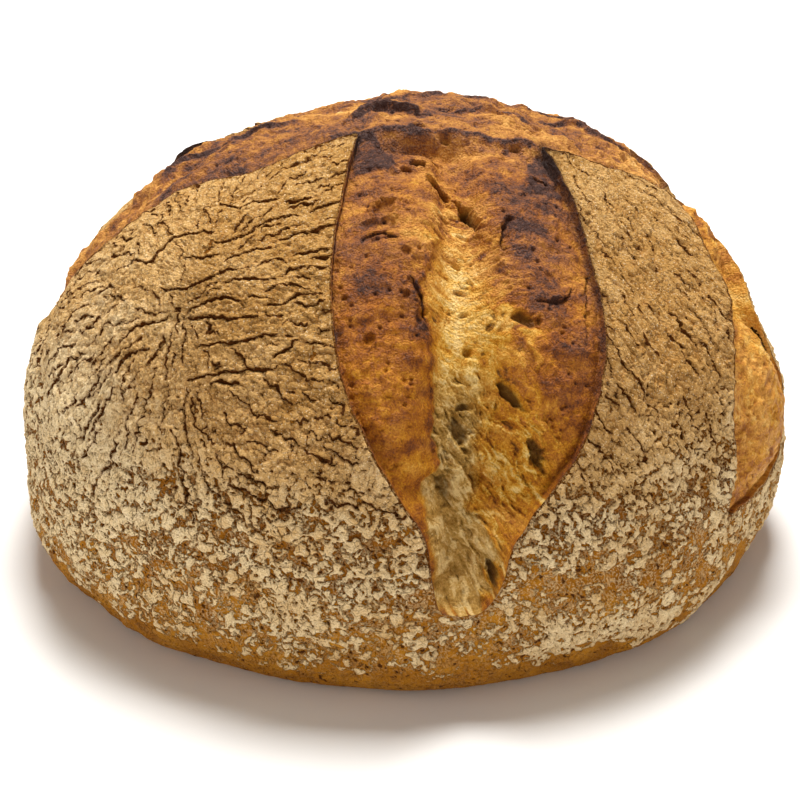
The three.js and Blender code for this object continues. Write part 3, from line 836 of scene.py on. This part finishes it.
CHARS = [                # burnt edges and tips: place, reach, change
    ((47, -12), 8, 1.0), ((51, -22), 7, 0.6), ((56, -34), 6, 0.7), ((60, -46), 6, 0.6),
    ((64, -58), 6, 0.6), ((67, -72), 7, 0.5), ((68, -88), 7, 0.3), ((-14, -14), 6, 0.5),
    ((60, 42), 13, 0.5), ((82, 36), 12, 0.55), ((96, 22), 6, 0.6), ((-78, 31), 10, 0.9),
    ((-58, 35), 12, 0.7), ((-36, 40), 12, 0.5), ((-8, 50), 8, 0.4), ((116, -40), 10, 0.3),
]
char = bumps(CHARS, places) * np.exp(-lip_distance / np.where(in_opening, 1.9, 1.3))
fields["char"] = np.clip(char, 0, 1).astype(np.float32)
BAKES = [                # the bloom browned more, or less, than the rest
    ((-12, -34), 10, 0.12), ((-10, -62), 20, 0.14), ((-4, -84), 14, 0.22), ((8, -94), 6, 0.2),
    ((-8, -98), 16, 0.06), ((45, -40), 15, 0.34), ((38, -58), 11, 0.30), ((44, -76), 12, 0.26),
    ((54, -90), 14, 0.18), ((58, -116), 18, 0.12), ((0, -28), 9, 0.15), ((18, -46), 9, -0.04),
    ((30, -34), 12, 0.12), ((33, -80), 8, 0.12), ((46, -104), 10, 0.14), ((5, 5), 24, 0.2),
    ((12, 34), 26, 0.16), ((10, -10), 12, 0.08), ((-3, 20), 12, 0.12), ((54, 12), 24, 0.18),
    ((-60, 0), 40, 0.3), ((112, 2), 14, 0.14), ((130, -40), 40, -0.14), ((116, -38), 9, 0.45),
]
# Mottled browning of the bloom, with painted light: paler on the raised crests of the crown's and
# flank's wrinkles and on the blisters, darker in the flank's troughs and in the pocks.
mottle_and_painted_light = (layered(long_form, (0.2 + 0.04 * on_crown, 6, 101), (0.14, 2.6, 102),
                  (0.16 * on_crown, 13, 107))
          - 0.14 * on_crown * smooth(wrinkle, 0.2, 1) - 0.06 * on_flank * wrinkle
          + 0.06 * noise(o_form / 1.4, 103) - 0.1 * blister + 0.12 * pock)
between_tips = smooth(o_x, -20, -8) * smooth(o_x, 52, 40)
baked = (0.56 + bumps(BAKES, o_places) + mottle_and_painted_light + 0.25 * np.exp(-o_lip / 0.8) * (1 - on_flank)
         # darker on the roll's front face between the tips: part browned edge, part painted shade
         # under the roll's edge
         + 0.36 * bell(behind_roll + 0.5, 1.1) * between_tips
         # darker at the fronts of the standing flaps: part browned skin, part painted shade beneath
         # them
         + 0.55 * flap_front_shade + 0.26 * scorched)
head = smooth(-o_y, 74, 44)
# Browning of the crumb: darker where the net of strands is thin, pale strands and painted shade in
# the holes between them.
golden = (0.67 - 0.16 * sharp_side - (0.3 - 0.14 * sharp_side) * smooth(crumb, 0, 8) + 0.16 * head
          - 0.26 * (web - 0.4) + 0.08 * noise(o_form / 5, 104) - 0.2 * patchy - 0.1 * (fibre - 0.4))
grey_width = 14 + 12 * smooth(-o_y, 146, 160)
grey = smooth(grey_width - across + 4 * noise(o_form / 7, 108), 0, 8)      # moist, unbrowned
cream = (bell(across + 2 + 5 * smooth(-o_y, 88, 110), 5.5)
         * smooth(-o_y, 46, 56) * smooth(o_y, -128, -104)
         * np.clip(0.8 + 0.7 * noise(o_form / 4.5, 109), 0, 1.3))      # stretched thin and pale
golden = golden - 0.16 * cream
# Raw crumb low in the valley, likewise darker between the strands: painted shade in the holes.
raw = (0.5 - 0.1 * grey - 0.35 * (web - 0.4) + 0.16 * noise(o_form / 4.5, 105) - 0.3 * thread
       - 0.12 * patchy)
crumb_bake = golden * (1 - valley) + raw * valley
baked = baked - stretched_skin * (0.14 + 0.16 * fibre)
fringe = bell(crumb + 0.6, 1.2) * 0.25 * sharp_side
fields["bake"][opening] = np.clip(baked * (1 - bare) + crumb_bake * bare + fringe, 0, 1)
fields["crack"][opening] = crease
fields["crumb"][opening] = bare * valley * grey
fields["pale"][opening] = np.maximum(bare, stretched_skin)
flow[opening] = strand_space(4.0, 1.2, 0)
fields["blush"][opening] = np.clip(smooth(o_y, -26, -8) * smooth(o_x, 104, 90)
                                   + 0.4 * on_flank
                                   + 0.6 * smooth(o_y, -105, -60) * (1 - on_flank)
                                   + 0.45 * noise(o_form / 6, 106), 0, 1)
# How deep a place lies in a pit or between the crumb's strands, where shade is painted.
fields["pit_shade"][opening] = np.maximum(pit_shade, bare * smooth(1 - web, 0.45, 0.95) * 0.8)


def place_object(name, data, place=(0, 0, 0), aim=None):
    """An object in the scene, at a place, and facing a point if one is given."""
    thing = bpy.data.objects.new(name, data)
    thing.location = place
    if aim:
        thing.rotation_euler = (Vector(aim) - Vector(place)).to_track_quat("-Z", "Y").to_euler()
    bpy.context.scene.collection.objects.link(thing)
    return thing


def skin_piece(name, chosen, material):
    """A closed piece from the chosen cells of the skin: their faces, and a fan from each open
    edge to a point inside the bread, or from the lowest edges to the middle of the base."""
    quads = cells[chosen]
    edges = np.concatenate([quads[:, [i, (i + 1) % 4]] for i in range(4)])
    codes = edges[:, 0].astype(np.int64) * len(rays) + edges[:, 1]
    opposite = edges[:, 1].astype(np.int64) * len(rays) + edges[:, 0]
    rim = edges[~np.isin(codes, opposite)]
    used = np.unique(quads)
    renumber = np.full(len(rays), -1)
    renumber[used] = np.arange(len(used))
    lowest = (rays[rim, 2] / np.abs(rays[rim, :2]).max(-1) < 0.001 - SIDE_REACH).all(1)
    tips = [HEART * (1, 1, 0.6), HEART * (1, 1, 0)][:1 + lowest.any()]
    fan = np.stack([renumber[rim[:, 1]], renumber[rim[:, 0]], len(used) + lowest], -1)
    points = np.concatenate([skin[used], tips]) * MILLIMETRE
    corners = np.concatenate([renumber[quads].ravel(), fan.ravel()])
    counts = np.concatenate([np.full(len(quads), 4), np.full(len(fan), 3)])
    mesh = bpy.data.meshes.new(name)
    mesh.vertices.add(len(points))
    mesh.vertices.foreach_set("co", points.ravel())
    mesh.loops.add(len(corners))
    mesh.loops.foreach_set("vertex_index", corners.astype(np.int32))
    mesh.polygons.add(len(counts))
    mesh.polygons.foreach_set("loop_start", (np.cumsum(counts) - counts).astype(np.int32))
    mesh.polygons.foreach_set("loop_total", counts.astype(np.int32))
    mesh.update(calc_edges=True)
    mesh.shade_smooth()
    vertex = np.concatenate([normals[used], [[0, 0, -1]] * len(tips)])
    mesh.normals_split_custom_set_from_vertices(vertex)
    for field, values in fields.items():
        layer = mesh.attributes.new(field, "FLOAT", "POINT")
        layer.data.foreach_set("value", np.append(values[used], [0] * len(tips)).astype(np.float32))
    layer = mesh.attributes.new("flow", "FLOAT_VECTOR", "POINT")
    layer.data.foreach_set("vector", np.append(flow[used], [0] * 3 * len(tips)).astype(np.float32))
    mesh.materials.append(material)
    piece = place_object(name, mesh)
    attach(piece, "root")
    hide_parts("loaf")


def paint(red, green, blue):
    """A linear colour from values of 0 to 255 as a screen shows them."""
    return tuple(((c / 255 + 0.055) / 1.055) ** 2.4 for c in (red, green, blue)) + (1,)


def put(kind, inputs, **settings):
    """A shader node of the tree being built, with its settings, and with each input joined to
    a socket or set to a value."""
    node = tree.nodes.new("ShaderNode" + kind)
    for name, value in settings.items():
        setattr(node, name, value)
    for key, value in inputs.items():
        if isinstance(value, bpy.types.NodeSocket):
            tree.links.new(value, node.inputs[key])
        else:
            node.inputs[key].default_value = value
    return node.outputs


def field(name, kind="Fac"):
    """The socket of a value stored at the points of the skin."""
    return put("Attribute", {}, attribute_name=name)[kind]


def grain(size, detail=2.0):
    """Noise from 0 to 1 with grains of a size in millimetres."""
    where = put("TexCoord", {})["Object"]
    return put("TexNoise", {"Vector": where, "Scale": 1000 / size, "Detail": detail})["Fac"]


def total(first, second, times=1.0):
    """first + second * times."""
    return put("Math", {0: second, 1: times, 2: first}, operation="MULTIPLY_ADD")[0]


def scaled(value, by):
    """A value times another."""
    return put("Math", {0: value, 1: by}, operation="MULTIPLY")[0]


def step(value, low, high):
    """0 below low and 1 above high, rising smoothly between."""
    return put("MapRange", {"Value": value, "From Min": low, "From Max": high},
               interpolation_type="SMOOTHSTEP")[0]


def mix(share, first, second):
    """The first colour where the share is 0, and the second where it is 1."""
    return put("Mix", {0: share, 6: first, 7: second}, data_type="RGBA")[2]


def ramp(value, *stops):
    """A colour read along 0 to 1 from stops, each a place and a colour as a screen shows it."""
    node = tree.nodes.new("ShaderNodeValToRGB")
    tree.links.new(value, node.inputs[0])
    for stop in stops[1:-1]:
        node.color_ramp.elements.new(stop[0])
    for element, (place, *colour) in zip(node.color_ramp.elements, stops):
        element.position, element.color = place, paint(*colour)
    return node.outputs[0]


def start_material(name):
    """A new material, its tree and its shader."""
    material = bpy.data.materials.new(name)
    material.use_nodes = True
    return material, material.node_tree, material.node_tree.nodes["Principled BSDF"]


def finish_material(colour, raised, distance, roughness, specular):
    """Joins a colour, and a small raise of the surface, to the shader being built."""
    bumped = put("Bump", {"Height": raised, "Strength": 1.0, "Distance": distance})[0]
    tree.links.new(colour, shader.inputs["Base Color"])
    tree.links.new(bumped, shader.inputs["Normal"])
    shader.inputs["Roughness"].default_value = roughness
    shader.inputs["Specular IOR Level"].default_value = specular


# Crust: brown skin under browned flour, with dark cracks whose cores and hairline seams are part dark
# crust and part painted shade.
crust_material, tree, shader = start_material("floured_crust")
fine_grain = grain(0.7, 4)
soft_grain = grain(2.6, 3)
under = ramp(total(field("bake"), soft_grain, 0.5),
             (0.0, 196, 138, 42), (0.45, 164, 106, 22), (0.8, 122, 72, 12), (1.0, 88, 48, 6))
toast_and_light_level = total(total(field("toast_and_light"), soft_grain, 0.9), fine_grain, 0.5)
dust = ramp(scaled(toast_and_light_level, 0.6), (0.0, 250, 240, 216), (0.4, 238, 214, 168),
            (0.7, 214, 174, 114), (1.0, 186, 140, 76))
speck = step(total(fine_grain, soft_grain, 0.4), 0.64, 0.52)
dust = mix(scaled(speck, 0.5), dust, paint(150, 102, 42))
glint = step(grain(0.5, 2), 0.60, 0.70)
dust = mix(scaled(glint, 0.55), dust, paint(255, 240, 208))
covered = step(total(field("flour"), fine_grain, 0.7), 0.79, 0.91)
film = step(total(fine_grain, soft_grain, 0.6), 0.74, 0.92)
dusted = mix(scaled(film, field("dusting")), under, dust)
colour = mix(covered, dusted, dust)
along_flow = field("flow", "Vector")
hairs = put("TexVoronoi", {"Vector": along_flow, "Scale": 1.5}, feature="DISTANCE_TO_EDGE")[0]
# Hairline seams between the fine plates, painted brown: part the crust in them, part painted shade.
hairline_shade = scaled(step(total(hairs, fine_grain, 0.16), 0.13, 0.09), step(soft_grain, 0.46, 0.56))
colour = mix(scaled(hairline_shade, 0.4), colour, paint(120, 74, 20))
near_crack = total(total(field("crack"), fine_grain, 0.3), soft_grain, 0.2)
colour = mix(scaled(step(near_crack, 0.86, 1.1), 0.4), colour, paint(150, 94, 30))
# Painted shade in the cracks: their cores, where dark crust shows, are painted darker still for the
# shade that falls in them.
shaded_crack_core = step(near_crack, 1.10, 1.18)
colour = mix(shaded_crack_core, colour, paint(84, 44, 6))
colour = mix(field("char"), colour, paint(46, 24, 10))
raised = total(total(covered, fine_grain, 1.4), shaded_crack_core, -1.5)
finish_material(colour, total(raised, hairline_shade, -0.7), 0.0008, 0.9, 0.1)

# Bloom: bare dough from cream crumb through gold and red-brown to black.
bloom_material, tree, shader = start_material("bloom")
fine_grain = grain(0.6, 4)
soft_grain = grain(2.2, 4)
along_flow = field("flow", "Vector")
streak = put("TexNoise", {"Vector": along_flow, "Scale": 1.0, "Detail": 4})["Fac"]
streak = scaled(total(streak, -0.5), field("pale"))
bake = total(total(field("bake"), total(-0.33, fine_grain, 0.66)),
             total(-0.27, soft_grain, 0.54))
bake = total(bake, streak, 0.4)
colour = ramp(bake, (0.0, 242, 208, 132), (0.16, 226, 178, 76), (0.34, 206, 142, 28),
              (0.55, 172, 104, 14), (0.74, 132, 70, 12), (0.9, 92, 48, 18), (1.0, 60, 30, 18))
blushed = ramp(bake, (0.0, 246, 208, 142), (0.3, 220, 162, 82), (0.55, 180, 120, 50),
               (0.75, 138, 84, 44), (0.9, 95, 60, 46), (1.0, 60, 34, 28))
colour = mix(field("blush"), colour, blushed)
olive = ramp(bake, (0.0, 234, 204, 140), (0.25, 200, 158, 82), (0.55, 156, 116, 44),
             (1.0, 100, 66, 14))
colour = mix(field("crumb"), colour, olive)
# Painted shade in the pits and in the holes between the crumb's strands.
colour = mix(scaled(step(field("pit_shade"), 0.15, 0.85), 0.85), colour, paint(76, 46, 2))
# Painted shade in the creases of the bloom.
shaded_crack_core = step(total(field("crack"), fine_grain, 0.3), 1.0, 1.14)
colour = mix(scaled(shaded_crack_core, 0.9), colour, paint(58, 26, 6))
colour = mix(field("char"), colour, paint(38, 20, 12))
raised = total(total(fine_grain, soft_grain, 1.6), streak, 0.8)
finish_material(colour, raised, 0.0009, 0.6, 0.25)

CROSS_SPAN = -18, 46     # where the cross arm's bloom starts and ends, from front to back
FRONT_LIMIT = 80         # how far to the right the front arm's bloom goes
UPPER_RISE = 0.3         # the rise of a ray above which the crust is in the upper pieces
cell_x, cell_y = places[cells[:, 0]].T
open_cell = in_opening[cells].sum(1) >= 2
flat_cell = skin[cells, 2].max(1) < 0.01
around = np.degrees(np.arctan2(cell_y - CROSSING[1], cell_x - CROSSING[0]))
shell = ~open_cell & ~flat_cell
above = rays[cells[:, 0], 2] > UPPER_RISE
for quarter, start, stop in (("front_left", -181, -90), ("front_right", -90, 0),
                             ("back_right", 0, 90), ("back_left", 90, 181)):
    chosen = shell & (around >= start) & (around < stop)
    skin_piece("crust_upper_" + quarter, chosen & above, crust_material)
    skin_piece("crust_lower_" + quarter, chosen & ~above, crust_material)
skin_piece("crust_base", ~open_cell & flat_cell, crust_material)
front, back = cell_y < CROSS_SPAN[0], cell_y >= CROSS_SPAN[1]
cross_cell = open_cell & ~front & (cell_x < FLANK_START)
skin_piece("bloom_front", open_cell & front & (cell_x < FRONT_LIMIT), bloom_material)
skin_piece("bloom_crown", cross_cell & ~back, bloom_material)
skin_piece("bloom_back", cross_cell & back, bloom_material)
skin_piece("bloom_flank", open_cell & (cell_x >= FLANK_START), bloom_material)


# ---- The room ----
# A plain pale floor under a soft box overhead and behind, with a weaker soft box low down at
# the front and one at each side.
def emitter(name, place, aim, size, power, colour):
    """A square soft box at a place, turned to shine at a point."""
    light = bpy.data.lights.new(name, "AREA")
    light.size, light.energy, light.color = size, power, colour
    place_object(name, light, place, aim)


FLOOR = 4.0              # half the side of the floor, in metres
floor_mesh = bpy.data.meshes.new("floor")
floor_mesh.from_pydata([(-FLOOR, -FLOOR, 0), (FLOOR, -FLOOR, 0), (FLOOR, FLOOR, 0),
                        (-FLOOR, FLOOR, 0)], [], [(0, 1, 2, 3)])
floor = place_object("floor", floor_mesh)
paper, tree, shader = start_material("paper")
shader.inputs["Base Color"].default_value = (0.9, 0.9, 0.9, 1)
shader.inputs["Roughness"].default_value = 0.8
floor_mesh.materials.append(paper)

emitter("overhead", (0.02, 0.36, 1.2), (0, 0, 0.05), 0.55, 25.5, (1, 0.99, 0.96))
emitter("front_fill", (-0.2, -1.6, 0.35), (0, 0, 0.06), 1.2, 7.2, (1, 0.9, 0.78))
emitter("left_fill", (-1.4, -0.4, 0.35), (0, 0, 0.06), 0.8, 4.6, (1, 0.9, 0.8))
emitter("right_fill", (1.4, -0.5, 0.35), (0, 0, 0.06), 0.8, 4, (1, 0.9, 0.8))

world = bpy.data.worlds.new("studio")
world.use_nodes = True
world.node_tree.nodes["Background"].inputs["Color"].default_value = (1, 0.9, 0.82, 1)
world.node_tree.nodes["Background"].inputs["Strength"].default_value = 0.22
bpy.context.scene.world = world
bpy.context.scene.view_settings.view_transform = "Standard"

CAMERA_PLACE, CAMERA_AIM = (-0.0014, -0.6171, 0.370), (-0.0014, 0.0004, 0.0416)
camera_data = bpy.data.cameras.new("camera")
camera_data.lens, camera_data.sensor_width = 98.3, 36
bpy.context.scene.camera = place_object("camera", camera_data, CAMERA_PLACE, CAMERA_AIM)
